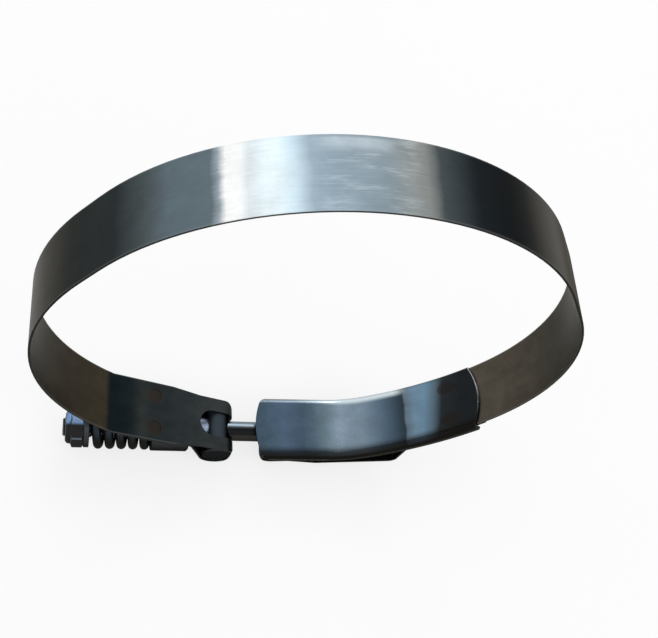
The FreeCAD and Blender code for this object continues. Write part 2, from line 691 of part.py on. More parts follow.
# Check the whole document, then write each piece to its own file
doc.recompute()
pieces = [band, plate, bolt, trunnion, spring, washer, nut, ring]
for item in doc.Objects:
    if "Invalid" in item.State or "Error" in item.State:
        raise ValueError("%s failed: %s" % (item.Label, item.State))
for piece in pieces:
    if piece.Shape.isNull() or not piece.Shape.isValid():
        raise ValueError("%s has no valid shape" % piece.Label)
    if len(piece.Shape.Solids) != 1:
        raise ValueError("%s is not one solid" % piece.Label)
os.makedirs("parts", exist_ok=True)
for piece in pieces:
    piece.Shape.exportStep("parts/%s.step" % piece.Label)
    print("%s %.1f mm3" % (piece.Label, piece.Shape.Volume))
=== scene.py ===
import logging
import math
from dataclasses import dataclass, field
from enum import Enum
from typing import Any, Sequence, Union

import bmesh
import bpy
from mathutils import Matrix, Vector


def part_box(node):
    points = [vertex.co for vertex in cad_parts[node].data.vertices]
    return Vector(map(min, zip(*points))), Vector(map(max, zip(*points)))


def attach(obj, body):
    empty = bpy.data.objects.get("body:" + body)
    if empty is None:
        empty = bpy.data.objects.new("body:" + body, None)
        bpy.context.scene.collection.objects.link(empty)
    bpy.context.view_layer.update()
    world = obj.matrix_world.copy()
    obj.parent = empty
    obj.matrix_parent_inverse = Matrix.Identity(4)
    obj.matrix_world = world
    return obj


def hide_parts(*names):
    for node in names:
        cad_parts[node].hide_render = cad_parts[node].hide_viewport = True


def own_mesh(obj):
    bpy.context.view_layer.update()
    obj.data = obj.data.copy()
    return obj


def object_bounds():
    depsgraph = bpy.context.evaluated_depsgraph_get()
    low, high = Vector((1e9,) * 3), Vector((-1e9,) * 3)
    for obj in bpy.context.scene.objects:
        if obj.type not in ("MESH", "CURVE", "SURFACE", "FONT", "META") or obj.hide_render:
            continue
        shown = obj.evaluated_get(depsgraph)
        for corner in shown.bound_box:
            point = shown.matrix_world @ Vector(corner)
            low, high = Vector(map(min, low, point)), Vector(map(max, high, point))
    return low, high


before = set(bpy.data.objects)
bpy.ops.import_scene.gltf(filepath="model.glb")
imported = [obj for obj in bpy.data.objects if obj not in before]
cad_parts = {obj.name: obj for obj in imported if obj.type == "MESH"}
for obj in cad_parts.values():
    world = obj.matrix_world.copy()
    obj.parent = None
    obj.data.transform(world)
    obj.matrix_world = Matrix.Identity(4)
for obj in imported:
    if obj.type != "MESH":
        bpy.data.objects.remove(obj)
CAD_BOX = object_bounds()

# Looks of a spring-loaded T-bolt hose clamp that stands on its closing hardware
#
# Lengths are millimetres in the frame of the solids: +X along the bolt to its T-head, +Y along the
# bore, +Z up to the crown of the band. The studio alone is in metres. Angles go round the bore in
# degrees, from the crown towards +X.

log = logging.getLogger("clamp")
MM = 0.001
CLAMP_BODY = "clamp"
SHARP_ANGLE = 38.0

Colour = tuple[float, float, float]
Point = tuple[float, float, float]
Shade = tuple[int, int, int]
Step = tuple[float, float]
Stop = tuple[float, Shade]
Weights = tuple[float, ...]


class Extent:
    """How far a solid reaches at rest."""

    def __init__(self, node: str) -> None:
        """Read the solid's two corners, to a thousandth of a millimetre."""
        self.low, self.high = ([round(v / MM, 3) for v in corner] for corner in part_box(node))


BAND = Extent("band")
PLATE = Extent("bridge_plate")
BOLT = Extent("t_bolt")
TRUNNION = Extent("trunnion")
SPRING = Extent("spring")
WASHER = Extent("washer")
NUT = Extent("lock_nut")
BOLT_Z = (BOLT.low[2] + BOLT.high[2]) / 2.0
SHANK_RADIUS = 3.175
THREAD_END = -27.0


def tone(red: int, green: int, blue: int) -> Colour:
    """Linear colour of an 8-bit screen colour.

    Args:
        red, green, blue: the colour as a screen shows it, 0 to 255.

    Returns:
        The three linear values.
    """
    def linear(value: int) -> float:
        """Linear value of one channel."""
        v = value / 255.0
        return v / 12.92 if v <= 0.04045 else ((v + 0.055) / 1.055) ** 2.4
    return (linear(red), linear(green), linear(blue))


@dataclass(frozen=True)
class Grain:
    """A noise pattern: how often it repeats along three directions, and how fine it gets."""

    often: tuple[float, float, float]
    detail: float = 3.0
    rough: float = 0.6


@dataclass(frozen=True)
class Paint:
    """A tone that is laid over a surface, and how much of it covers at most."""

    shade: Shade
    cover: float = 1.0


class Number:
    """A number that varies over a surface; arithmetic on it adds Math nodes."""

    def __init__(self, bench: "Bench", socket: bpy.types.NodeSocket) -> None:
        """Wrap one output socket of a bench."""
        self.bench = bench
        self.socket = socket

    def __add__(self, other: "Operand") -> "Number":
        """Sum."""
        return self.bench.math("ADD", self, other)

    def __radd__(self, other: "Operand") -> "Number":
        """Sum with a plain number first."""
        return self.bench.math("ADD", other, self)

    def __sub__(self, other: "Operand") -> "Number":
        """Difference."""
        return self.bench.math("SUBTRACT", self, other)

    def __rsub__(self, other: "Operand") -> "Number":
        """Difference from a plain number."""
        return self.bench.math("SUBTRACT", other, self)

    def __mul__(self, other: "Operand") -> "Number":
        """Product."""
        return self.bench.math("MULTIPLY", self, other)

    def __rmul__(self, other: "Operand") -> "Number":
        """Product with a plain number first."""
        return self.bench.math("MULTIPLY", other, self)

    def __truediv__(self, other: "Operand") -> "Number":
        """Quotient."""
        return self.bench.math("DIVIDE", self, other)

    def __pow__(self, other: "Operand") -> "Number":
        """Power."""
        return self.bench.math("POWER", self, other)

    def __abs__(self) -> "Number":
        """Size without its sign."""
        return self.bench.math("ABSOLUTE", self)


Operand = Union[Number, float, int]


class Bench:
    """Where the nodes of one material or world are put together."""

    def __init__(self, tree: bpy.types.NodeTree) -> None:
        """Start from an empty tree."""
        tree.nodes.clear()
        self.tree = tree

    def node(self, kind: str, settings: dict[str, Any] | None = None,
             inputs: dict[Any, Any] | None = None) -> bpy.types.Node:
        """Add any node.

        Args:
            kind: the node's type.
            settings: its own settings, such as a Math node's operation or a ramp's stops.
            inputs: values or links of its sockets, by name or place.

        Returns:
            The node.
        """
        made = self.tree.nodes.new(kind)
        for key, value in (settings or {}).items():
            if key == "stops":
                self._set_stops(made.color_ramp, value)
            else:
                setattr(made, key, value)
        for key, value in (inputs or {}).items():
            socket = made.inputs[key]
            if isinstance(value, Number):
                value = value.socket
            if isinstance(value, bpy.types.NodeSocket):
                self.tree.links.new(value, socket)
            elif socket.type == "RGBA" and len(value) == 3:
                socket.default_value = (*value, 1.0)
            else:
                socket.default_value = value
        return made

    @staticmethod
    def _set_stops(ramp: bpy.types.ColorRamp, stops: Sequence[tuple[float, Colour]]) -> None:
        """Give a ramp its stops.

        Args:
            ramp: a new ramp.
            stops: place from 0 to 1 and linear colour of each.
        """
        while len(ramp.elements) < len(stops):
            ramp.elements.new(1.0)
        for element, (place, colour) in zip(ramp.elements, stops):
            element.position = place
            element.color = (*colour, 1.0)

    def math(self, operation: str, *terms: Operand) -> Number:
        """One Math node on one or more numbers."""
        made = self.node("ShaderNodeMath", {"operation": operation}, dict(enumerate(terms)))
        return Number(self, made.outputs[0])

    def most(self, one: Operand, other: Operand) -> Number:
        """The larger of two numbers."""
        return self.math("MAXIMUM", one, other)

    def rise(self, value: Operand, low: float, high: float) -> Number:
        """A soft step.

        Args:
            value: what is looked at.
            low, high: where the step starts and ends; low may be the larger.

        Returns:
            0 before low, 1 after high, and a smooth curve between them.
        """
        ends = {1: low, 2: high, 3: 0.0, 4: 1.0}
        if low > high:
            ends = {1: high, 2: low, 3: 1.0, 4: 0.0}
        made = self.node("ShaderNodeMapRange", {"interpolation_type": "SMOOTHSTEP"},
                         {0: value, **ends})
        return Number(self, made.outputs[0])

    def level(self, weights: Weights, *patterns: Number) -> Number:
        """A plain amount with a share of each pattern.

        Args:
            weights: the plain amount, then the share of each pattern.
            patterns: the patterns in the same order.

        Returns:
            The sum.
        """
        total: Operand = weights[0]
        for weight, pattern in zip(weights[1:], patterns):
            total = total + weight * pattern
        return total

    def vector(self, x: Operand, y: Operand, z: Operand) -> bpy.types.NodeSocket:
        """Vector of three numbers."""
        return self.node("ShaderNodeCombineXYZ", None, {0: x, 1: y, 2: z}).outputs[0]

    def parts(self, vector: bpy.types.NodeSocket) -> tuple[Number, Number, Number]:
        """The three numbers of a vector."""
        made = self.node("ShaderNodeSeparateXYZ", None, {0: vector})
        return tuple(Number(self, made.outputs[k]) for k in range(3))

    def place(self) -> tuple[Number, Number, Number]:
        """Where a point is on the object.

        Returns:
            Its place in millimetres.
        """
        made = self.node("ShaderNodeTexCoord")
        scaled = self.node("ShaderNodeVectorMath", {"operation": "SCALE"},
                           {0: made.outputs["Object"], "Scale": 1.0 / MM})
        return self.parts(scaled.outputs[0])

    def facing(self) -> tuple[Number, Number, Number]:
        """Which way the surface faces on the object."""
        return self.parts(self.node("ShaderNodeTexCoord").outputs["Normal"])

    def noise(self, grain: Grain, *place: Operand) -> Number:
        """Cloudy pattern.

        Args:
            grain: the pattern.
            place: the three numbers that it follows.

        Returns:
            The pattern's value, from 0 to 1.
        """
        spread = [value * often for value, often in zip(place, grain.often)]
        made = self.node("ShaderNodeTexNoise", {"noise_dimensions": "3D"},
                         {"Vector": self.vector(*spread), "Scale": 1.0,
                          "Detail": grain.detail, "Roughness": grain.rough})
        return Number(self, made.outputs[0])

    def zones(self, value: Number, stops: Sequence[Stop]) -> bpy.types.NodeSocket:
        """Colour that changes along an angle or a length.

        Args:
            value: the angle or length.
            stops: screen colours and their places, from the first place to the last.

        Returns:
            The colour.
        """
        start, reach = stops[0][0], stops[-1][0] - stops[0][0]
        placed = [((place - start) / reach, tone(*shade)) for place, shade in stops]
        made = self.node("ShaderNodeValToRGB", {"stops": placed}, {0: (value - start) / reach})
        return made.outputs[0]

    def mix(self, factor: Operand, first: Any, second: Any,
            blend: str = "MIX") -> bpy.types.NodeSocket:
        """Blend of two colours.

        Args:
            factor: how much of the second.
            first, second: colours or colour sockets.
            blend: the kind of blend.

        Returns:
            The blended colour.
        """
        made = self.node("ShaderNodeMix", {"data_type": "RGBA", "blend_type": blend},
                         {0: factor, 6: first, 7: second})
        return made.outputs[2]

    def laid(self, mask: Number, under: Any, paint: Paint) -> bpy.types.NodeSocket:
        """Colour with a paint over it where the mask is 1."""
        return self.mix(mask * paint.cover, under, tone(*paint.shade))

    def scaled(self, colour: Any, amount: Number) -> bpy.types.NodeSocket:
        """Colour made lighter or darker by a number."""
        return self.mix(1.0, colour, amount, "MULTIPLY")

    def bump(self, height: Number, depth: float, strength: float) -> bpy.types.NodeSocket:
        """Normal of a surface with that relief.

        Args:
            height: the relief, from 0 to 1.
            depth: its depth in millimetres.
            strength: how much of it counts.

        Returns:
            The normal.
        """
        made = self.node("ShaderNodeBump", None,
                         {"Height": height, "Distance": depth * MM, "Strength": strength})
        return made.outputs[0]


def from_bolt(y: Number, z: Number) -> Number:
    """Distance from the bolt's line."""
    return (y * y + (z - BOLT_Z) ** 2.0) ** 0.5


def from_weld(x: Number, y: Number, weld: tuple[float, float]) -> Number:
    """Distance from the nearer of two welds, one each side of the middle."""
    return ((x - weld[0]) ** 2.0 + (abs(y) - weld[1]) ** 2.0) ** 0.5


class Finish:
    """What every finish shares: a bench, a shader and the way to its output."""

    name: str
    edge: Colour = (0.62, 0.62, 0.61)

    def material(self) -> bpy.types.Material:
        """Make the material of this finish.

        Returns:
            The material.
        """
        made = bpy.data.materials.new(self.name)
        made.use_nodes = True
        bench = Bench(made.node_tree)
        shader = bench.node("ShaderNodeBsdfPrincipled", None,
                            {"Specular Tint": self.edge, **self.surface(bench)})
        self.output(bench, shader.outputs[0])
        return made

    def output(self, bench: Bench, shader: bpy.types.NodeSocket) -> None:
        """Join the shader to the material's output."""
        bench.node("ShaderNodeOutputMaterial", None, {"Surface": shader})

    def surface(self, bench: Bench) -> dict[str, Any]:
        """Values and links of the shader's sockets."""
        raise NotImplementedError


@dataclass(frozen=True)
class StripFinish(Finish):
    """Rolled stainless strip: painted reflections in zones round the ring, rolling lines,
    heat-marked welds.
    """

    name: str = "rolled_strip"
    half_width: float = BAND.high[1]
    # The outside and inside stops are painted reflections: the light and dark zones that the
    # surroundings mirror in the strip, laid into its colour by angle.
    outside: tuple[Stop, ...] = (
        (-180.0, (60, 62, 62)), (-140.0, (92, 96, 98)),
        (-78.0, (54, 49, 41)), (-66.0, (36, 39, 38)),
        (-52.0, (42, 48, 50)), (-44.0, (78, 87, 90)), (-39.0, (94, 108, 116)),
        (-30.4, (98, 112, 119)), (-29.5, (150, 162, 170)),
        (-28.9, (246, 248, 248)), (-25.4, (248, 250, 250)), (-23.6, (216, 227, 233)),
        (-21.6, (232, 244, 248)), (-18.6, (230, 244, 249)), (-15.8, (204, 225, 235)),
        (-13.0, (156, 174, 187)), (-11.0, (146, 164, 177)),
        (1.0, (128, 142, 150)), (5.0, (140, 146, 146)), (8.8, (130, 134, 131)),
        (11.2, (70, 78, 81)), (19.0, (26, 32, 36)), (28.0, (10, 14, 18)),
        (33.0, (17, 20, 21)), (39.0, (60, 57, 51)), (45.0, (70, 66, 60)),
        (60.0, (78, 74, 68)), (73.0, (30, 28, 26)), (110.0, (66, 62, 54)),
        (140.0, (98, 100, 100)), (180.0, (60, 62, 62)))
    inside: tuple[Stop, ...] = (
        (-180.0, (40, 46, 48)), (-168.0, (56, 60, 61)), (-158.0, (42, 48, 50)),
        (-151.0, (36, 43, 45)), (-147.5, (46, 51, 50)), (-144.5, (24, 32, 35)),
        (-139.0, (20, 27, 30)), (-138.1, (58, 52, 41)), (-118.0, (53, 47, 39)),
        (-95.0, (52, 48, 40)), (-60.0, (84, 86, 86)), (-20.0, (150, 156, 160)),
        (20.0, (120, 124, 126)), (60.0, (70, 67, 61)), (95.0, (62, 59, 52)),
        (118.0, (82, 76, 67)), (134.0, (73, 68, 61)), (146.0, (42, 40, 37)),
        (180.0, (46, 48, 50)))
    lines: Grain = Grain((18.0, 5.5, 0.4), 4.0, 0.65)
    cloud: Grain = Grain((52.0, 0.11, 0.02))
    streaks: Grain = Grain((75.0, 1.5, 0.0))
    patches: Grain = Grain((34.0, 0.32, 0.0))
    mottle: Grain = Grain((0.16, 0.20, 0.16), 4.0, 0.62)
    cloud_sway: float = 2.16
    streak_sway: float = 0.648
    inner_sway: float = 0.2
    inner_facing: Step = (0.15, -0.15)
    crown_start: Step = (-13.68, -7.92)
    crown_end: Step = (9.36, 4.32)
    # glint is a painted highlight, laid in patches on the crown; the far_ steps lay a painted
    # highlight along the far edge.
    glint: Paint = Paint((226, 236, 242), 1.0)
    glint_fray: float = 0.5
    glint_edge: Step = (0.50, 0.72)
    glint_share: float = 0.30
    far_start: Step = (4.0, 8.0)
    far_end: Step = (9.4, 8.4)
    far_turn: Step = (4.32, 0.0)
    far_share: Weights = (0.15, 0.35)
    # The paint below is painted shade on the outer face low down, under the clamp.
    painted_underside_light: Paint = Paint((34, 33, 32), 0.85)
    foot_height: Step = (-70.0, -73.0)
    sheared: Paint = Paint((34, 32, 29), 0.9)
    sheared_facing: Step = (0.75, 0.95)
    shine: Weights = (0.68, 0.24, 0.24, 0.18)
    mottled: Weights = (0.35, 0.55)
    weld: tuple[float, float] = (-35.4, 5.3)
    weld_height: Step = (-45.0, -50.0)
    weld_mark: Paint = Paint((50, 43, 37), 0.7)
    mark_edge: Step = (2.5, 1.7)
    weld_halo: Paint = Paint((52, 46, 40), 0.35)
    halo_edge: Step = (4.2, 2.2)
    rubbed: Paint = Paint((178, 180, 180), 0.12)
    rub_width: Step = (0.5, 0.05)
    # A zone near the right limb is made mostly non-metal, so that its painted dark reflection tone
    # is not lifted by grazing reflection.
    dark_limb_start: Step = (42.48, 52.56)
    dark_limb_end: Step = (93.6, 82.8)
    dark_limb_matte: float = 0.94
    roughness: Weights = (0.24, 0.14, 0.10, 0.15)
    relief: tuple[float, float] = (0.02, 0.35)

    def surface(self, bench: Bench) -> dict[str, Any]:
        """Painted reflection zones by angle for each face, painted highlights on the crown and
        along the far edge, painted shade on the outer face low down, fine lines along the strip,
        marks at the welds.

        Args:
            bench: where the nodes go.

        Returns:
            Values and links of the shader's sockets.
        """
        x, y, z = bench.place()
        nx, ny, nz = bench.facing()
        radius = (x * x + z * z) ** 0.5
        angle = bench.math("ARCTAN2", x, z) * math.degrees(1.0)
        turn = angle / 360.0 + 0.5
        lines = bench.noise(self.lines, turn, y, radius)
        cloud = bench.noise(self.cloud, turn, y, z)
        streaks = bench.noise(self.streaks, turn, y, z)
        sway = (cloud - 0.5) * self.cloud_sway + (streaks - 0.5) * self.streak_sway
        # painted reflections round the ring, on the outer and the inner face
        outside = bench.zones(angle + sway, self.outside)
        inside = bench.zones(angle + sway * self.inner_sway, self.inside)
        inner = bench.rise((nx * x + nz * z) / radius, *self.inner_facing)
        outer = 1.0 - inner

        # painted highlight: patches on the crown and a line along the far edge
        patches = bench.noise(self.patches, turn, y, z)
        glint = bench.rise(patches + (lines - 0.5) * self.glint_fray, *self.glint_edge)
        far = bench.rise(y, *self.far_start) * bench.rise(y, *self.far_end)
        far = far * bench.rise(angle, *self.far_turn) * bench.level(self.far_share, cloud)
        crown = bench.rise(angle, *self.crown_start) * bench.rise(angle, *self.crown_end)
        glint = crown * bench.most(glint * self.glint_share, far)
        colour = bench.mix(inner, bench.laid(glint, outside, self.glint), inside)

        # painted shade on the outer face low down
        colour = bench.laid(bench.rise(z, *self.foot_height) * outer, colour, self.painted_underside_light)
        sheared = bench.rise(abs(ny), *self.sheared_facing)
        colour = bench.laid(sheared, colour, self.sheared)
        colour = bench.scaled(colour, bench.level(self.shine, lines, cloud, streaks))
        mottle = bench.noise(self.mottle, x, y, z) - 0.5
        colour = bench.scaled(colour, 1.0 + mottle * bench.level(self.mottled, inner))

        reach = from_weld(x, y, self.weld)
        low = bench.rise(z, *self.weld_height)
        mark = bench.rise(reach, *self.mark_edge) * low
        colour = bench.laid(bench.rise(reach, *self.halo_edge) * low, colour, self.weld_halo)
        colour = bench.laid(mark, colour, self.weld_mark)
        rub = bench.rise(self.half_width - abs(y), *self.rub_width) * (1.0 - sheared)
        colour = bench.laid(rub, colour, self.rubbed)
        # mostly non-metal near the right limb, so the painted dark tone stays dark at a grazing
        # view
        dark_limb = bench.rise(angle, *self.dark_limb_start) * bench.rise(angle, *self.dark_limb_end) * outer
        return {"Base Color": colour, "Metallic": 1.0 - self.dark_limb_matte * dark_limb,
                "Specular IOR Level": 0.0,
                "Roughness": bench.level(self.roughness, lines, cloud, mark),
                "Normal": bench.bump(lines, *self.relief)}


@dataclass(frozen=True)
class SheetFinish(Finish):
    """Polished stainless sheet of the bridge plate: painted blue-grey reflections in soft clouds,
    painted highlights at the cut ends.
    """

    name: str = "polished_sheet"
    # The inside stops are painted reflections along the plate's inner face.
    inside: tuple[Stop, ...] = (
        (-4.0, (62, 78, 92)), (1.5, (70, 89, 104)), (7.0, (77, 95, 115)),
        (13.0, (68, 85, 102)), (17.0, (80, 98, 112)), (20.5, (100, 119, 130)),
        (26.0, (128, 145, 160)), (32.0, (120, 139, 154)), (36.0, (100, 119, 136)),
        (39.0, (80, 99, 117)), (43.2, (52, 66, 76)), (44.2, (48, 60, 69)),
        (44.6, (98, 114, 127)), (47.0, (108, 134, 154)), (49.5, (104, 133, 154)),
        (52.0, (82, 101, 113)), (53.7, (40, 45, 48)), (58.0, (32, 36, 38)),
        (68.0, (32, 35, 37)))
    cloud: Grain = Grain((0.13, 0.17, 0.05), 4.0)
    grain: Grain = Grain((0.5, 7.0, 2.0))
    nicks: Grain = Grain((2.4, 1.6, 1.0), 2.0, 0.5)
    lean: float = -0.12
    lean_start: Step = (45.5, 50.0)
    cloud_sway: float = 1.296
    shine: Weights = (0.56, 0.62, 0.10, 0.08)
    # painted shade on the side flanges
    flange_shade: Paint = Paint((22, 19, 15))
    flange_facing: Step = (0.55, 0.9)
    back_flange: Paint = Paint((84, 92, 98))
    back_facing: Step = (0.9, 0.98)
    # painted highlight along the far bend, widening and growing lighter along the plate
    far_bend_highlight: Paint = Paint((212, 224, 230))
    bend_place: Step = (8.5, 10.3)
    bend_facing: Step = (0.97, 0.85)
    bend_width: Weights = (0.5, 0.9)
    bend_widens: Step = (14.0, 34.0)
    bend_light: Weights = (0.40, 0.55)
    bend_brightens: Step = (8.0, 26.0)
    bend_end: Step = (46.0, 41.5)
    # painted shade where the near edge bends away
    near_edge_shade: Paint = Paint((26, 24, 21), 0.92)
    near_place: Step = (-6.2, -9.3)
    # painted shade on faces that look down
    downward_shade: Paint = Paint((40, 39, 37))
    lower_facing: Step = (-0.2, -0.7)
    cut_heading: float = 56.5
    cut_centre: float = -19.04
    cut_radius: float = 18.58
    cut_depth: Step = (0.12, 0.04)
    cut_start: Step = (59.0, 60.0)
    cut_fades: Step = (-7.0, 3.0)
    # At the cut end: painted shade over the whole cut face, then a painted highlight over its far
    # part, which is made mostly non-metal so that the highlight reads light.
    cut_shade: Paint = Paint((46, 50, 52))
    cut_highlight: Paint = Paint((196, 200, 202))
    cut_highlight_matte: float = 0.9
    weld: tuple[float, float] = (55.25, 5.3)
    weld_mark: Paint = Paint((40, 34, 30), 0.55)
    mark_edge: Step = (2.4, 1.8)
    roughness: Weights = (0.16, 0.12, 0.10, 0.12)
    relief: tuple[float, float] = (0.015, 0.25)

    def surface(self, bench: Bench) -> dict[str, Any]:
        """Painted reflections in clouds along the plate, painted shade on the side flanges, the
        near edge and faces that look down, painted highlights on the far bend and the sheared
        ends.

        Args:
            bench: where the nodes go.

        Returns:
            Values and links of the shader's sockets.
        """
        x, y, z = bench.place()
        nx, ny, nz = bench.facing()
        cloud = bench.noise(self.cloud, x, y, z)
        grain = bench.noise(self.grain, x, y, z)
        nicks = bench.noise(self.nicks, x, y, z)
        lean = y * self.lean * bench.rise(x, *self.lean_start)
        # painted reflections along the plate
        colour = bench.zones(x + lean + (cloud - 0.5) * self.cloud_sway, self.inside)
        colour = bench.scaled(colour, bench.level(self.shine, cloud, grain, nicks))
        # painted shade on the side flanges; the back one then takes a mid steel tone
        colour = bench.laid(bench.rise(abs(ny), *self.flange_facing), colour, self.flange_shade)
        colour = bench.laid(bench.rise(ny, *self.back_facing), colour, self.back_flange)

        # painted highlight along the far bend
        width = bench.level(self.bend_width, bench.rise(x, *self.bend_widens))
        light = bench.level(self.bend_light, bench.rise(x, *self.bend_brightens))
        far = bench.rise(y + width, *self.bend_place) * light * bench.rise(x, *self.bend_end)
        colour = bench.laid(far * bench.rise(ny, *self.bend_facing), colour, self.far_bend_highlight)
        # painted shade where the near edge bends away
        colour = bench.laid(bench.rise(y, *self.near_place), colour, self.near_edge_shade)
        # painted shade on faces that look down
        colour = bench.laid(bench.rise(nz, *self.lower_facing), colour, self.downward_shade)

        # painted shade on the cut end, then a painted highlight on its far part
        heading = math.radians(self.cut_heading)
        ahead = x * math.cos(heading) + z * math.sin(heading) - self.cut_centre
        depth = self.cut_radius - (ahead * ahead + y * y) ** 0.5
        cut = bench.rise(depth, *self.cut_depth) * bench.rise(x, *self.cut_start)
        colour = bench.laid(cut, colour, self.cut_shade)
        cut = cut * bench.rise(y, *self.cut_fades)
        colour = bench.laid(cut, colour, self.cut_highlight)
        mark = bench.rise(from_weld(x, y, self.weld), *self.mark_edge)
        colour = bench.laid(mark, colour, self.weld_mark)
        return {"Base Color": colour, "Metallic": 1.0 - self.cut_highlight_matte * cut,
                "Roughness": bench.level(self.roughness, grain, cloud, mark),
                "Normal": bench.bump(grain + nicks, *self.relief)}


@dataclass(frozen=True)
class BarFinish(Finish):
    """Drawn stainless bar of the T-bolt: a dark tone for its dark reflection, a painted highlight
    along the shank with a painted reflection under it, and painted shade in the thread's roots.
    """

    name: str = "drawn_bar"
    # dark is the shank's dark reflection, painted into its colour; the paint after it is a painted
    # highlight along the shank
    dark: Shade = (30, 31, 33)
    shank_highlight: Paint = Paint((128, 141, 150))
    bright_heading: tuple[float, float] = (0.92, 0.38)
    bright_facing: Step = (0.30, 0.72)
    # painted reflection along the underside of the shank
    painted_underside_light: Paint = Paint((58, 56, 51), 0.8)
    foot_lift: float = 0.25
    foot_facing: Step = (0.80, 0.98)
    lines: Grain = Grain((0.3, 9.0, 9.0))
    blot: Grain = Grain((0.6, 0.6, 0.6), 2.0, 0.5)
    shine: Weights = (0.80, 0.24, 0.12)
    rolled: Paint = Paint((132, 136, 138))
    rolled_start: Step = (0.0, 1.0)
    # painted shade in the thread's roots
    root: Paint = Paint((26, 25, 24), 0.75)
    root_depth: Step = (0.1, 0.5)
    roughness: Weights = (0.20, 0.18, 0.25)
    relief: tuple[float, float] = (0.01, 0.3)

    def surface(self, bench: Bench) -> dict[str, Any]:
        """Painted highlight along the shank with a painted reflection under it, drawn lines,
        painted shade in the thread's roots.

        Args:
            bench: where the nodes go.

        Returns:
            Values and links of the shader's sockets.
        """
        x, y, z = bench.place()
        nx, ny, nz = bench.facing()
        lines = bench.noise(self.lines, x, y, z)
        blot = bench.noise(self.blot, x, y, z)
        across, up = self.bright_heading
        # painted highlight along the shank, on faces that look up and back
        shank_highlight_mask = bench.rise(ny * across + nz * up, *self.bright_facing)
        colour = bench.laid(shank_highlight_mask, tone(*self.dark), self.shank_highlight)
        # painted reflection under the shank
        painted_underside_light = bench.rise(nz * self.foot_lift - ny, *self.foot_facing)
        colour = bench.laid(painted_underside_light, colour, self.painted_underside_light)
        colour = bench.scaled(colour, bench.level(self.shine, lines, blot))
        rolled = bench.rise(THREAD_END - x, *self.rolled_start)
        colour = bench.laid(rolled, colour, self.rolled)
        # painted shade in the thread's roots
        root = bench.rise(SHANK_RADIUS - from_bolt(y, z), *self.root_depth) * rolled
        colour = bench.laid(root, colour, self.root)
        return {"Base Color": colour, "Metallic": 1.0,
                "Roughness": bench.level(self.roughness, lines, root),
                "Normal": bench.bump(lines, *self.relief)}


@dataclass(frozen=True)
class TurnedFinish(Finish):
    """Turned stainless: fine tool rings round the bolt's line, rubbed corners, a dark tone that
    stands in for shade and painted highlights on faces that look up.
    """

    name: str = "turned_steel"
    edge: Colour = (0.3, 0.3, 0.3)
    # dark is painted shade; the paint after it is a painted highlight on faces that look up
    dark: Shade = (13, 13, 13)
    top_highlight: Paint = Paint((62, 70, 78), 0.8)
    top_facing: Step = (0.70, 0.99)
    hidden: Paint = Paint((98, 101, 102))
    lower_facing: Step = (-0.15, -0.6)
    end_facing: Step = (0.8, 0.97)
    end_share: float = 0.7
    rim: Paint = Paint((150, 154, 156), 0.12)
    rim_radius: float = TRUNNION.high[2] - BOLT_Z
    rim_depth: Step = (0.55, 0.1)
    # painted highlight on the narrow part of the pin that shows through the slot
    neck_highlight: Paint = Paint((158, 170, 194), 0.9)
    neck_radius: Step = (4.6, 4.2)
    neck_start: Step = (-25.0, -24.5)
    neck_end: Step = (-17.0, -17.8)
    neck_facing: Step = (0.3, 0.8)
    rings: Grain = Grain((7.0, 7.0, 0.0), 2.0, 0.5)
    stain: Grain = Grain((0.5, 0.5, 0.5), 4.0)
    shine: Weights = (0.70, 0.30, 0.30)
    roughness: Weights = (0.30, 0.16, 0.14)
    relief: tuple[float, float] = (0.02, 0.4)

    def surface(self, bench: Bench) -> dict[str, Any]:
        """Rings by place along and round the bolt's line; a dark tone as painted shade, painted
        highlights on faces that look up and on the narrow part by the slot, lighter at the rim.

        Args:
            bench: where the nodes go.

        Returns:
            Values and links of the shader's sockets.
        """
        x, y, z = bench.place()
        nx, ny, nz = bench.facing()
        radius = from_bolt(y, z)
        rings = bench.noise(self.rings, x, radius, z)
        stain = bench.noise(self.stain, x, y, z)
        # painted highlight on faces that look up, over the painted shade of the dark tone
        colour = bench.laid(bench.rise(nz, *self.top_facing), tone(*self.dark), self.top_highlight)
        ends = bench.rise(abs(nx), *self.end_facing) * self.end_share
        away = bench.most(bench.rise(nz, *self.lower_facing), ends)
        colour = bench.laid(away, colour, self.hidden)
        rim = bench.rise(self.rim_radius - radius, *self.rim_depth) * (1.0 - abs(nx))
        colour = bench.laid(rim, colour, self.rim)
        # painted highlight on the narrow part of the pin that shows through the slot
        neck_highlight = bench.rise(radius, *self.neck_radius) * bench.rise(nz, *self.neck_facing)
        neck_highlight = neck_highlight * bench.rise(x, *self.neck_start) * bench.rise(x, *self.neck_end)
        colour = bench.laid(neck_highlight, colour, self.neck_highlight)
        colour = bench.scaled(colour, bench.level(self.shine, rings, stain))
        return {"Base Color": colour, "Metallic": 1.0,
                "Roughness": bench.level(self.roughness, rings, stain),
                "Normal": bench.bump(rings, *self.relief)}


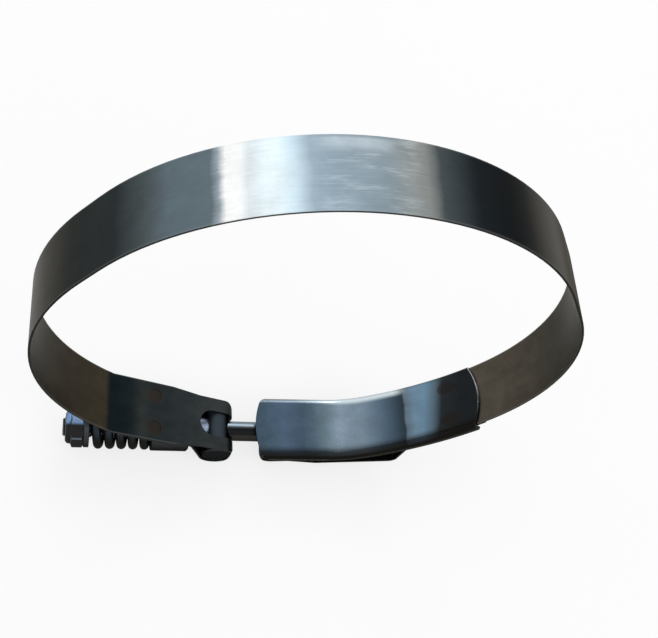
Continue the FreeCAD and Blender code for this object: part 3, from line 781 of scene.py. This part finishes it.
@dataclass(frozen=True)
class WireFinish(Finish):
    """Spring wire: a dark tone that stands in for shade, with a painted bluish highlight on the
    crown of each coil.
    """

    name: str = "spring_wire"
    # dark is painted shade; the paint after it is a painted highlight on the crowns that face up
    dark: Shade = (34, 35, 33)
    crown_highlight: Paint = Paint((50, 59, 70), 0.85)
    crown_highlight_radius: float = SPRING.high[1]
    crown_highlight_depth: Step = (0.75, 0.05)
    crown_highlight_facing: Step = (0.45, 0.95)
    hidden: Paint = Paint((92, 95, 97))
    hidden_facing: Step = (-0.15, -0.7)
    lines: Grain = Grain((1.5, 6.0, 6.0))
    stain: Grain = Grain((0.45, 0.45, 0.45))
    shine: Weights = (0.68, 0.30, 0.34)
    roughness: Weights = (0.34, 0.16, 0.12)
    relief: tuple[float, float] = (0.02, 0.35)

    def surface(self, bench: Bench) -> dict[str, Any]:
        """Crowns take a painted highlight where they face up; drawing lines follow the coil.

        Args:
            bench: where the nodes go.

        Returns:
            Values and links of the shader's sockets.
        """
        x, y, z = bench.place()
        nx, ny, nz = bench.facing()
        radius = from_bolt(y, z)
        angle = bench.math("ARCTAN2", y, z - BOLT_Z)
        lines = bench.noise(self.lines, angle, x, radius)
        stain = bench.noise(self.stain, x, y, z)
        # painted highlight on the crowns that face up
        crown_highlight = bench.rise(self.crown_highlight_radius - radius, *self.crown_highlight_depth)
        crown_highlight = crown_highlight * bench.rise(nz, *self.crown_highlight_facing)
        colour = bench.laid(crown_highlight, tone(*self.dark), self.crown_highlight)
        colour = bench.laid(bench.rise(nz, *self.hidden_facing), colour, self.hidden)
        colour = bench.scaled(colour, bench.level(self.shine, lines, stain))
        return {"Base Color": colour, "Metallic": 1.0,
                "Roughness": bench.level(self.roughness, lines, stain),
                "Normal": bench.bump(lines, *self.relief)}


@dataclass(frozen=True)
class FacetFinish(Finish):
    """Satin nut: brushed facets, a dark tone that stands in for shade, painted bluish highlights
    on the upper facets and on the corners that face up.
    """

    name: str = "nut_facets"
    # dark is painted shade; lit is a painted highlight on the upper facets, placed by height
    # across the nut
    dark: Shade = (42, 42, 43)
    lit: Paint = Paint((118, 148, 184))
    lit_heading: tuple[float, float] = (0.93, 0.365)
    lit_place: Step = (0.5, 1.7)
    lit_facing: Step = (0.3, 0.6)
    hidden: Paint = Paint((112, 115, 117))
    lower_facing: Step = (-0.3, -0.7)
    end_facing: Step = (0.7, 0.95)
    end_share: float = 0.7
    # painted highlight on the corners that face up
    corner: Paint = Paint((150, 166, 184), 0.4)
    corner_radius: float = (NUT.high[2] - NUT.low[2]) / 2.0
    corner_depth: Step = (0.30, 0.05)
    corner_facing: Step = (0.2, 0.6)
    scratch: Grain = Grain((1.2, 6.0, 6.0), 4.0)
    stain: Grain = Grain((0.5, 0.5, 0.5))
    shine: Weights = (0.72, 0.26, 0.26)
    roughness: Weights = (0.24, 0.20, 0.10)
    relief: tuple[float, float] = (0.015, 0.3)

    def surface(self, bench: Bench) -> dict[str, Any]:
        """Painted bluish highlight on the upper facets, fine scratches, painted highlights on the
        corners that face up.

        Args:
            bench: where the nodes go.

        Returns:
            Values and links of the shader's sockets.
        """
        x, y, z = bench.place()
        nx, ny, nz = bench.facing()
        scratch = bench.noise(self.scratch, x, y, z)
        stain = bench.noise(self.stain, x, y, z)
        across, up = self.lit_heading
        # painted highlight on the upper facets
        lit = bench.rise(y * across + (z - BOLT_Z) * up, *self.lit_place)
        colour = bench.laid(lit * bench.rise(nz, *self.lit_facing), tone(*self.dark), self.lit)
        ends = bench.rise(abs(nx), *self.end_facing) * self.end_share
        away = bench.most(bench.rise(nz, *self.lower_facing), ends)
        colour = bench.laid(away, colour, self.hidden)
        # painted highlight on the corners that face up
        corner = bench.rise(self.corner_radius - from_bolt(y, z), *self.corner_depth)
        corner = corner * bench.rise(nz, *self.corner_facing)
        colour = bench.laid(corner, colour, self.corner)
        colour = bench.scaled(colour, bench.level(self.shine, scratch, stain))
        return {"Base Color": colour, "Metallic": 1.0,
                "Roughness": bench.level(self.roughness, scratch, stain),
                "Normal": bench.bump(scratch, *self.relief)}


@dataclass(frozen=True)
class NylonFinish(Finish):
    """Dull moulded nylon of the locking ring, slightly cloudy."""

    name: str = "locking_nylon"
    shade: Shade = (98, 106, 116)
    cloud: Grain = Grain((0.9, 0.9, 0.9))
    grain: Grain = Grain((9.0, 9.0, 9.0), 2.0, 0.5)
    shine: Weights = (0.75, 0.35, 0.15)
    roughness: Weights = (0.42, 0.20)
    milk: float = 0.05
    milk_depth: float = 0.4
    relief: tuple[float, float] = (0.01, 0.3)

    def surface(self, bench: Bench) -> dict[str, Any]:
        """Milky clouds and the fine grain of the mould.

        Args:
            bench: where the nodes go.

        Returns:
            Values and links of the shader's sockets.
        """
        x, y, z = bench.place()
        cloud = bench.noise(self.cloud, x, y, z)
        grain = bench.noise(self.grain, x, y, z)
        colour = bench.scaled(tone(*self.shade), bench.level(self.shine, cloud, grain))
        return {"Base Color": colour, "Roughness": bench.level(self.roughness, grain),
                "Subsurface Weight": self.milk, "Subsurface Scale": self.milk_depth * MM,
                "Normal": bench.bump(grain, *self.relief)}


@dataclass(frozen=True)
class FloorFinish(Finish):
    """Plain pale floor."""

    name: str = "pale_floor"
    pale: Colour = (0.95, 0.95, 0.95)
    cloud: Grain = Grain((0.01, 0.01, 0.01), 2.0, 0.5)
    shine: Weights = (0.99, 0.02)
    lift: float = 0.76

    def surface(self, bench: Bench) -> dict[str, Any]:
        """Even white with a very faint cloud.

        Args:
            bench: where the nodes go.

        Returns:
            Values and links of the shader's sockets.
        """
        cloud = bench.noise(self.cloud, *bench.place())
        colour = bench.scaled(self.pale, bench.level(self.shine, cloud))
        return {"Base Color": colour, "Roughness": 0.9, "Specular IOR Level": 0.2}

    def output(self, bench: Bench, shader: bpy.types.NodeSocket) -> None:
        """Lift the floor towards white where the camera sees it; a soft shadow stays.

        Args:
            bench: where the nodes go.
            shader: the floor's own shader.
        """
        path = bench.node("ShaderNodeLightPath")
        glow = bench.node("ShaderNodeEmission", None, {"Color": (1.0, 1.0, 1.0), "Strength": 1.0})
        seen = Number(bench, path.outputs["Is Camera Ray"]) * self.lift
        both = bench.node("ShaderNodeMixShader", None,
                          {0: seen, 1: shader, 2: glow.outputs[0]})
        super().output(bench, both.outputs[0])


class Slot(Enum):
    """Names of material slots; piece() takes one but does not use it."""

    PLATE = "plate_steel"
    BOLT = "bolt_steel"
    SPRING = "spring_steel"


class SubAssembly:
    """Something of the clamp that is built and dressed in one go."""

    def dress(self, node: str, finish: Finish) -> None:
        """Give a carried-over solid its finish.

        Args:
            node: name of the solid.
            finish: what its surface is like.
        """
        material = finish.material()
        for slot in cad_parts[node].material_slots:
            slot.material = material
        log.info("dressed %s as %s", node, finish.name)

    def piece(self, name: str, mesh: bmesh.types.BMesh, finish: Finish, stands_for: str,
              slot: Slot) -> bpy.types.Object:
        """Turn a mesh into a piece that stands for a solid and moves with the clamp.

        Args:
            name: the piece's name.
            mesh: its mesh.
            finish: what its surface is like.
            stands_for: the solid that it replaces.
            slot: not used.

        Returns:
            The piece.
        """
        bmesh.ops.recalc_face_normals(mesh, faces=mesh.faces[:])
        bmesh.ops.scale(mesh, vec=(MM, MM, MM), verts=mesh.verts[:])
        data = bpy.data.meshes.new(name)
        mesh.to_mesh(data)
        mesh.free()
        made = bpy.data.objects.new(name, data)
        bpy.context.scene.collection.objects.link(made)
        data.materials.append(finish.material())
        data.shade_smooth()
        data.set_sharp_from_angle(angle=math.radians(SHARP_ANGLE))
        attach(made, CLAMP_BODY)
        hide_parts(stands_for)
        log.info("built %s with %d faces", name, len(data.polygons))
        return made


def tube(mesh: bmesh.types.BMesh, rings: Sequence[Sequence[Point]]) -> None:
    """Skin a row of rings with the same number of points and close both ends.

    Args:
        mesh: the mesh that it goes into.
        rings: the rings in order.
    """
    rows = [[mesh.verts.new(p) for p in ring] for ring in rings]
    count = len(rows[0])
    for low, high in zip(rows, rows[1:]):
        for k in range(count):
            after = (k + 1) % count
            mesh.faces.new((low[k], low[after], high[after], high[k]))
    mesh.faces.new(rows[0])
    mesh.faces.new(rows[-1])


def slice_off(mesh: bmesh.types.BMesh, place: Sequence[float], outward: Sequence[float]) -> None:
    """Cut a closed mesh with a plane and close it again.

    Args:
        mesh: the mesh.
        place: a point of the plane.
        outward: the side of the plane that goes.
    """
    everything = mesh.verts[:] + mesh.edges[:] + mesh.faces[:]
    bmesh.ops.bisect_plane(mesh, geom=everything, plane_co=place, plane_no=outward,
                           clear_outer=True)
    bmesh.ops.holes_fill(mesh, edges=[edge for edge in mesh.edges if edge.is_boundary])


@dataclass
class Ring(SubAssembly):
    """The folded strip and the bridge plate inside it, whose left corners are rounded off."""

    strip: StripFinish = field(default_factory=StripFinish)
    sheet: SheetFinish = field(default_factory=SheetFinish)
    end_x: float = PLATE.low[0]
    end_z: float = -74.439
    end_lean: float = 2.35
    end_radius: float = 26.93
    half_plate: float = PLATE.high[1]
    corner: float = 3.8
    facets: int = 10
    join: float = 0.0005

    def corner_planes(self) -> list[tuple[float, float, float, float]]:
        """Planes that touch the round of the corner on the far side.

        Returns:
            For each plane, a point along the plate and across it, and its normal there.
        """
        inner = self.half_plate - self.corner
        deep = self.end_radius - self.corner
        centre = self.end_radius - math.sqrt(deep ** 2 - inner ** 2)
        first = math.pi - math.asin(inner / deep)
        planes = []
        for k in range(self.facets):
            angle = first + (math.pi / 2.0 - first) * (k + 0.5) / self.facets
            u, v = math.cos(angle), math.sin(angle)
            planes.append((centre + self.corner * u, inner + self.corner * v, u, v))
        return planes

    def rounded_plate(self) -> bmesh.types.BMesh:
        """Copy the plate and round both corners of its left end.

        Returns:
            The mesh of the rounded plate.
        """
        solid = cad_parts["bridge_plate"]
        mesh = bmesh.new()
        mesh.from_mesh(solid.data)
        mesh.transform(Matrix.Scale(1.0 / MM, 4) @ solid.matrix_world)
        bmesh.ops.remove_doubles(mesh, verts=mesh.verts[:], dist=self.join)
        self.keep_outer_shell(mesh)
        lean = math.radians(self.end_lean)
        forward = Vector((math.cos(lean), 0.0, math.sin(lean)))
        tip = Vector((self.end_x, 0.0, self.end_z))
        for ahead, across, u, v in self.corner_planes():
            for side in (-1.0, 1.0):
                slice_off(mesh, tip + forward * ahead + Vector((0.0, side * across, 0.0)),
                          forward * u + Vector((0.0, side * v, 0.0)))
        log.info("plate has %d open edges", sum(not e.is_manifold for e in mesh.edges))
        return mesh

    @staticmethod
    def keep_outer_shell(mesh: bmesh.types.BMesh) -> None:
        """Drop closed shells that lie inside the sheet, where nothing shows them.

        Args:
            mesh: the plate, whose points at the left end are on its outer shell.
        """
        start = min(mesh.verts, key=lambda vert: vert.co.x)
        kept, queue = {start}, [start]
        while queue:
            for edge in queue.pop().link_edges:
                for vert in edge.verts:
                    if vert not in kept:
                        kept.add(vert)
                        queue.append(vert)
        inside = [vert for vert in mesh.verts if vert not in kept]
        bmesh.ops.delete(mesh, geom=inside, context="VERTS")

    def build(self) -> None:
        """Dress the strip and trim the plate."""
        self.dress("band", self.strip)
        made = self.piece("trimmed_plate", self.rounded_plate(), self.sheet, "bridge_plate",
                          Slot.PLATE)
        even = made.modifiers.new("even_normals", "WEIGHTED_NORMAL")
        even.keep_sharp = True


@dataclass
class ClosingBolt(SubAssembly):
    """T-bolt with a rolled thread, and the trunnion that it slides through."""

    tip_x: float = BOLT.low[0]
    tip_chamfer: float = 0.7
    head_radius: float = 3.6
    head_x: float = BOLT.high[0] - head_radius
    head_half: float = BOLT.high[1]
    head_edge: float = 0.5
    head_ease: tuple[tuple[float, float], ...] = ((0.0, 1.0), (0.3, 0.15), (1.0, 0.0))
    head_columns: int = 56
    pitch: float = 0.907
    thread_depth: float = 0.52
    thread_slope: float = 1.3
    thread_floor: float = 0.12
    run_out: float = 1.5
    steps: int = 9
    columns: int = 44
    plain_rings: tuple[float, ...] = (THREAD_END + 0.4, -20.0, -10.0, 0.0)

    def thread_radius(self, x: float, turn: float) -> float:
        """Radius of the rolled thread.

        Args:
            x: place along the bolt.
            turn: angle round it, in turns from +Y towards +Z.

        Returns:
            The radius there, with the run-out and the end chamfer.
        """
        phase = (x / self.pitch - turn) % 1.0
        ramp = 1.0 - abs(2.0 * phase - 1.0)
        height = min(1.0, max(0.0, self.thread_slope * ramp - self.thread_floor))
        run_out = min(1.0, max(0.0, (x - THREAD_END + self.run_out) / self.run_out))
        height += (1.0 - height) * run_out
        grooved = SHANK_RADIUS - self.thread_depth * (1.0 - height)
        return min(grooved, SHANK_RADIUS - self.tip_chamfer + (x - self.tip_x))

    def bar(self, mesh: bmesh.types.BMesh) -> None:
        """Add the shank, from its threaded end into the head.

        Args:
            mesh: the bolt's mesh.
        """
        step = self.pitch / self.steps
        places = [self.tip_x + step * k for k in range(int((THREAD_END - self.tip_x) / step) + 1)]
        rings = []
        for x in (*places, *self.plain_rings, self.head_x):
            ring = []
            for k in range(self.columns):
                angle = math.tau * k / self.columns
                r = self.thread_radius(x, k / self.columns)
                ring.append((x, r * math.cos(angle), BOLT_Z + r * math.sin(angle)))
            rings.append(ring)
        tube(mesh, rings)

    def head(self, mesh: bmesh.types.BMesh) -> None:
        """Add the round cross head with eased ends.

        Args:
            mesh: the bolt's mesh.
        """
        near = [(self.head_edge * along - self.head_half, self.head_radius - self.head_edge * into)
                for along, into in self.head_ease]
        far = [(-y, r) for y, r in reversed(near)]
        rings = []
        for y, r in near + far:
            angles = [math.tau * k / self.head_columns for k in range(self.head_columns)]
            rings.append([(self.head_x + r * math.cos(a), y, BOLT_Z + r * math.sin(a))
                          for a in angles])
        tube(mesh, rings)

    def build(self) -> None:
        """Build the bolt and dress the trunnion."""
        mesh = bmesh.new()
        self.bar(mesh)
        self.head(mesh)
        self.piece("closing_bolt", mesh, BarFinish(), "t_bolt", Slot.BOLT)
        self.dress("trunnion", TurnedFinish())


@dataclass
class CoilSpring(SubAssembly):
    """Coil spring with ground ends."""

    back_x: float = SPRING.low[0]
    front_x: float = SPRING.high[0]
    outside: float = SPRING.high[1] - SPRING.low[1]
    wire: float = 2.95
    turns: float = 5.3
    start_turn: float = 0.5
    travel: float = 4.0
    per_turn: int = 56
    sides: int = 20

    def coil(self) -> list[list[Point]]:
        """Wind the wire to the right.

        Returns:
            The rings of the wire, from the nut's end to the trunnion's.
        """
        mean = (self.outside - self.wire) / 2.0
        rise = (self.front_x - self.back_x) / self.turns / math.tau
        count = int(self.turns * self.per_turn)
        rings = []
        for k in range(count + 1):
            wound = math.tau * self.turns * k / count
            angle = wound + math.tau * self.start_turn
            outward = Vector((0.0, -math.sin(angle), math.cos(angle)))
            forward = Vector((rise, -mean * math.cos(angle), -mean * math.sin(angle)))
            aside = forward.normalized().cross(outward)
            centre = Vector((self.back_x + rise * wound, 0.0, BOLT_Z)) + outward * mean
            ring = []
            for j in range(self.sides):
                a = math.tau * j / self.sides
                p = centre + (outward * math.cos(a) + aside * math.sin(a)) * (self.wire / 2.0)
                ring.append(tuple(p))
            rings.append(ring)
        return rings

    def build(self) -> None:
        """Wind the spring, grind its ends and give the piece a mesh of its own."""
        mesh = bmesh.new()
        tube(mesh, self.coil())
        slice_off(mesh, (self.back_x, 0.0, 0.0), (-1.0, 0.0, 0.0))
        slice_off(mesh, (self.front_x, 0.0, 0.0), (1.0, 0.0, 0.0))
        made = self.piece("coil_spring", mesh, WireFinish(), "spring", Slot.SPRING)
        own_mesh(made)


@dataclass
class NutSet(SubAssembly):
    """Washer, lock nut and its locking ring."""

    # The washer's dark tone is painted shade, with a painted highlight on its faces that look up.
    washer: TurnedFinish = TurnedFinish(
        name="washer_steel", dark=(26, 27, 28), top_highlight=Paint((58, 68, 80), 0.8),
        rim_radius=WASHER.high[1])

    def build(self) -> None:
        """Dress the three solids."""
        self.dress("washer", self.washer)
        self.dress("lock_nut", FacetFinish())
        self.dress("nut_insert", NylonFinish())


@dataclass(frozen=True)
class Lamp:
    """One soft studio lamp; place and size in metres, power in watts."""

    name: str
    place: Point
    width: float
    height: float
    power: float
    tint: Colour


@dataclass
class Studio:
    """Pale floor, soft lamps, white surroundings and the camera, all in metres."""

    target: Point = (0.0, 0.0, -0.03)
    lamps: tuple[Lamp, ...] = (
        Lamp("window", (0.20, 0.80, 0.42), 0.40, 0.30, 1.1, (0.92, 0.97, 1.0)),
        Lamp("ceiling", (-0.07, 0.06, 0.80), 0.22, 0.22, 0.6, (0.92, 0.97, 1.0)),
        Lamp("room", (0.55, -0.50, 0.60), 0.60, 0.60, 1.2, (1.0, 0.97, 0.93)))
    sky: float = 0.78
    camera_place: Point = (-0.05893, -0.12236, 0.23223)
    camera_turn: tuple[Point, Point, Point] = (
        (0.970776, -0.051734, -0.234344),
        (-0.062906, 0.887491, -0.456512),
        (0.231595, 0.457912, 0.858301))
    lens: float = 56.11
    sensor: float = 36.0
    seen_from: float = 0.01
    seen_to: float = 50.0
    floor_half: float = 4.0
    floor_cells: int = 8
    floor_gap: float = 0.00002

    def floor(self) -> None:
        """Lay a pale sheet just under the lowest point of the solids."""
        height = CAD_BOX[0][2] - self.floor_gap
        mesh = bmesh.new()
        bmesh.ops.create_grid(mesh, x_segments=self.floor_cells, y_segments=self.floor_cells,
                              size=self.floor_half)
        bmesh.ops.translate(mesh, vec=(0.0, 0.0, height), verts=mesh.verts[:])
        data = bpy.data.meshes.new("floor")
        mesh.to_mesh(data)
        mesh.free()
        made = bpy.data.objects.new("floor", data)
        bpy.context.scene.collection.objects.link(made)
        data.materials.append(FloorFinish().material())

    def light(self) -> None:
        """Hang the lamps, each aimed at the clamp."""
        for lamp in self.lamps:
            data = bpy.data.lights.new(lamp.name, "AREA")
            data.shape = "RECTANGLE"
            data.size = lamp.width
            data.size_y = lamp.height
            data.energy = lamp.power
            data.color = lamp.tint
            made = bpy.data.objects.new(lamp.name, data)
            made.location = lamp.place
            aim = Vector(self.target) - Vector(lamp.place)
            made.rotation_euler = aim.to_track_quat("-Z", "Y").to_euler()
            bpy.context.scene.collection.objects.link(made)

    def surroundings(self) -> None:
        """White all round for what is seen or mirrored, a little dimmer as a light."""
        world = bpy.data.worlds.new("surroundings")
        bpy.context.scene.world = world
        world.use_nodes = True
        bench = Bench(world.node_tree)
        path = bench.node("ShaderNodeLightPath")
        rays = [Number(bench, path.outputs[name])
                for name in ("Is Camera Ray", "Is Glossy Ray", "Is Transmission Ray")]
        seen = bench.most(bench.most(rays[0], rays[1]), rays[2])
        shader = bench.node("ShaderNodeBackground", None,
                            {"Color": (1.0, 1.0, 1.0),
                             "Strength": bench.level((self.sky, 1.0 - self.sky), seen)})
        bench.node("ShaderNodeOutputWorld", None, {"Surface": shader.outputs[0]})

    def camera(self) -> None:
        """Set the camera up at the photograph's place."""
        data = bpy.data.cameras.new("camera")
        data.sensor_fit = "HORIZONTAL"
        data.sensor_width = self.sensor
        data.lens = self.lens
        data.clip_start = self.seen_from
        data.clip_end = self.seen_to
        made = bpy.data.objects.new("camera", data)
        turn = Matrix(self.camera_turn).to_4x4()
        made.matrix_world = Matrix.Translation(self.camera_place) @ turn
        bpy.context.scene.collection.objects.link(made)
        bpy.context.scene.camera = made

    def build(self) -> None:
        """Set up everything round the clamp."""
        self.floor()
        self.light()
        self.surroundings()
        self.camera()
        bpy.context.scene.view_settings.view_transform = "Standard"


def main() -> None:
    """Build the clamp's looks and the studio in order."""
    logging.basicConfig(level=logging.INFO, format="%(name)s: %(message)s")
    for part in (Ring(), ClosingBolt(), CoilSpring(), NutSet(), Studio()):
        part.build()
        log.info("%s done", type(part).__name__)


if __name__ == "__main__":
    main()
